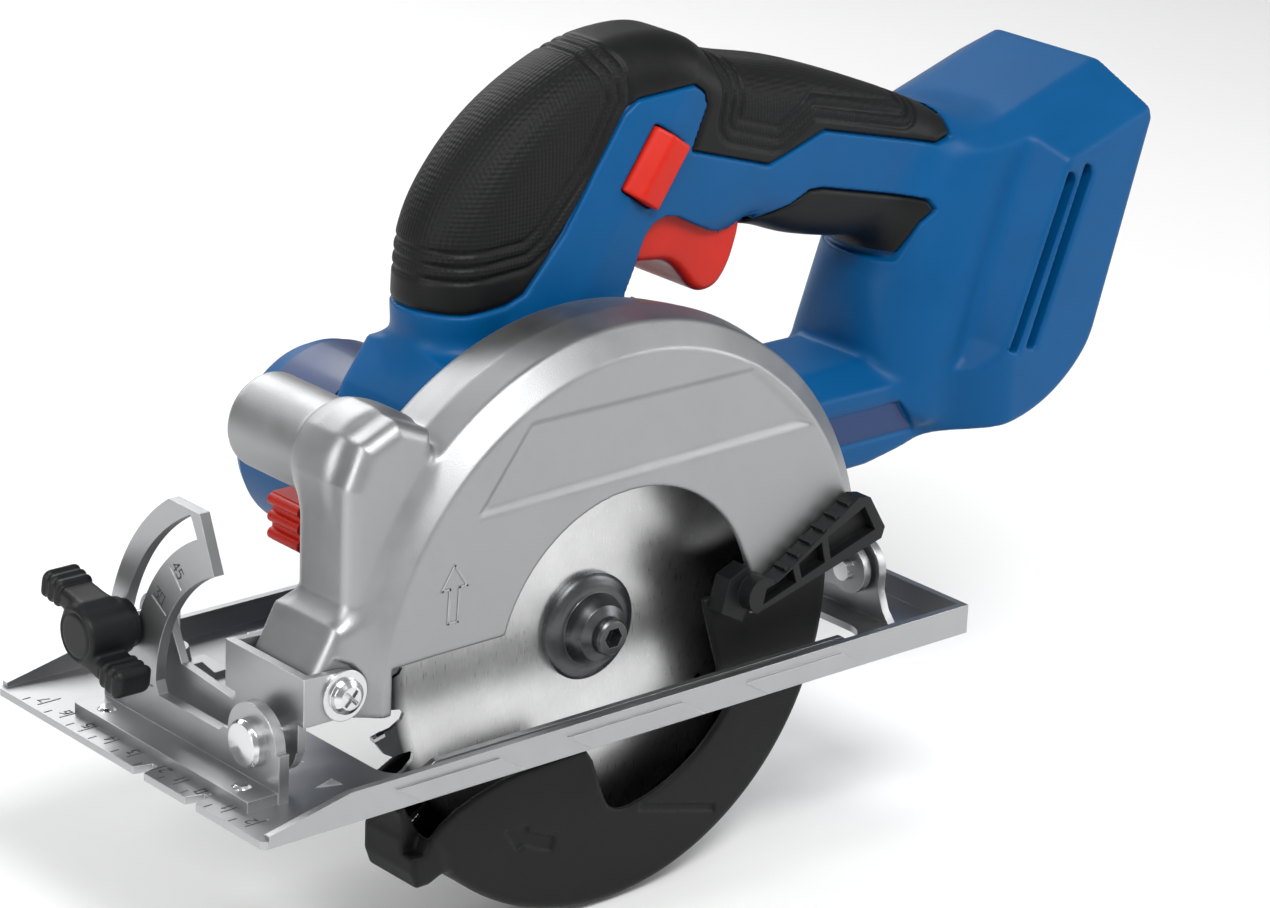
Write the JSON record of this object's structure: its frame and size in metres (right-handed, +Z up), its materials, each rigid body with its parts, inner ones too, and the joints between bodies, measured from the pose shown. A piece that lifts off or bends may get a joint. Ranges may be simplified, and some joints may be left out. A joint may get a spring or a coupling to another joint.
{
  "type": "cordless circular saw",
  "caption": "Compact cordless circular saw: sprung lower guard over the blade, tilting base plate, depth pivot, D-shaped handle with trigger and a foot for a slide-on battery.",
  "frame": {"origin": "on the sole of the base plate, straight below the arbor, in the mid-plane of the blade", "axes": "+X is the cutting direction, +Y points to the blade side, +Z up from the sole"},
  "size_m": [0.3294, 0.1263, 0.2206],
  "materials": {
    "plate_metal": "satin rolled sheet with brushed edges",
    "cast_metal": "fine sandblasted casting",
    "bright_steel": "bright plated steel",
    "dark_steel": "blackened steel",
    "blade_steel": "ground blade steel with a dark rim",
    "carbide": "ground carbide",
    "black_plastic": "fine textured moulding",
    "blue_plastic": "satin moulding",
    "grip_rubber": "soft overmould with a fine grid texture",
    "red_plastic": "satin moulding",
    "label_film": "printed film, plain",
    "copper_winding": "enamelled copper wire on laminations",
    "circuit_board": "coated circuit board"
  },
  "bodies": {
    "base": {"base_plate": "plate_metal", "bevel_bracket": "plate_metal", "bracket_rivets": "bright_steel", "front_pivot_pin": "bright_steel", "rear_pivot_pin": "bright_steel", "fence_boss": "plate_metal"},
    "tilt_frame": {"front_yoke": "plate_metal", "depth_arm": "plate_metal", "pivot_screw": "bright_steel", "pivot_nut": "bright_steel", "bevel_bolt": "bright_steel"},
    "bevel_knob": {"bevel_knob": "black_plastic"},
    "head": {"upper_guard": "cast_metal", "dust_spout": "cast_metal", "gear_case": "cast_metal", "gear_cover": "cast_metal", "guard_retainer": "dark_steel", "spindle_bearings": "bright_steel", "idler_shaft": "bright_steel", "stator": "copper_winding", "motor_bearings": "bright_steel", "motor_housing": "blue_plastic", "rating_plate": "label_film", "housing_left": "blue_plastic", "housing_right": "blue_plastic", "housing_screws": "dark_steel", "front_grip": "grip_rubber", "rear_grip": "grip_rubber", "lower_grip": "grip_rubber", "trigger_switch": "black_plastic", "trigger_spring": "bright_steel", "guard_spring": "bright_steel", "depth_bolt": "bright_steel", "control_board": "circuit_board", "terminal_block": "black_plastic"},
    "spindle": {"arbor": "bright_steel", "drive_gear": "bright_steel", "inner_flange": "dark_steel", "saw_blade": "blade_steel", "carbide_tips": "carbide", "outer_flange": "dark_steel", "blade_bolt": "dark_steel"},
    "idler": {"idler_gears": "bright_steel"},
    "rotor": {"rotor_shaft": "bright_steel", "rotor_core": "dark_steel", "fan": "black_plastic"},
    "lower_guard": {"lower_guard": "black_plastic", "guard_lever": "black_plastic"},
    "trigger": {"trigger": "red_plastic"},
    "lock_off": {"lock_off_button": "red_plastic"},
    "spindle_lock": {"spindle_lock_button": "red_plastic", "spindle_lock_plate": "bright_steel"},
    "depth_lever": {"depth_lever": "black_plastic"}
  },
  "joints": [
    {"name": "bevel", "type": "hinge", "parent": "base", "child": "tilt_frame", "pos_m": [0, 0.0036, 0.0148], "axis": [-1, 0, 0], "range_deg": [0, 45]},
    {"name": "depth", "type": "hinge", "parent": "tilt_frame", "child": "head", "pos_m": [0.089, 0, 0.0265], "axis": [0, 1, 0], "range_deg": [0, 28]},
    {"name": "bevel_knob_turn", "type": "hinge", "parent": "tilt_frame", "child": "bevel_knob", "pos_m": [0.115, -0.04856, 0.02878], "axis": [1, 0, 0], "range_deg": [0, 120]},
    {"name": "blade_spin", "type": "hinge", "parent": "head", "child": "spindle", "pos_m": [0, 0, 0.019], "axis": [0, -1, 0], "continuous": true},
    {"name": "idler_spin", "type": "hinge", "parent": "head", "child": "idler", "pos_m": [-0.00269, -0.03, 0.04134], "axis": [0, -1, 0], "continuous": true},
    {"name": "rotor_spin", "type": "hinge", "parent": "head", "child": "rotor", "pos_m": [0.019, -0.06, 0.049], "axis": [0, -1, 0], "continuous": true},
    {"name": "guard_swing", "type": "hinge", "parent": "head", "child": "lower_guard", "pos_m": [0, 0, 0.019], "axis": [0, 1, 0], "range_deg": [0, 140], "stiffness_Nm_per_rad": 0.08, "springref_deg": -91.67},
    {"name": "trigger_pull", "type": "hinge", "parent": "head", "child": "trigger", "pos_m": [-0.043, -0.035, 0.114], "axis": [0, 1, 0], "range_deg": [0, 10], "stiffness_Nm_per_rad": 0.6, "springref_deg": -11.46, "deforming": ["trigger_spring"]},
    {"name": "lock_off_push", "type": "slide", "parent": "head", "child": "lock_off", "axis": [0, 1, 0], "range_m": [-0.002, 0.002], "stiffness_N_per_m": 900},
    {"name": "spindle_lock_push", "type": "slide", "parent": "head", "child": "spindle_lock", "axis": [-1, 0, 0], "range_m": [0, 0.004], "stiffness_N_per_m": 900, "springref_m": -0.002},
    {"name": "depth_lever_turn", "type": "hinge", "parent": "head", "child": "depth_lever", "pos_m": [-0.04198, -0.02, 0.02421], "axis": [0, 1, 0], "range_deg": [-20, 0]}
  ],
  "couplings": [
    {"joint": "idler_spin", "follows": "blade_spin", "ratio": -1.3684},
    {"joint": "rotor_spin", "follows": "blade_spin", "ratio": 4.9263}
  ]
}
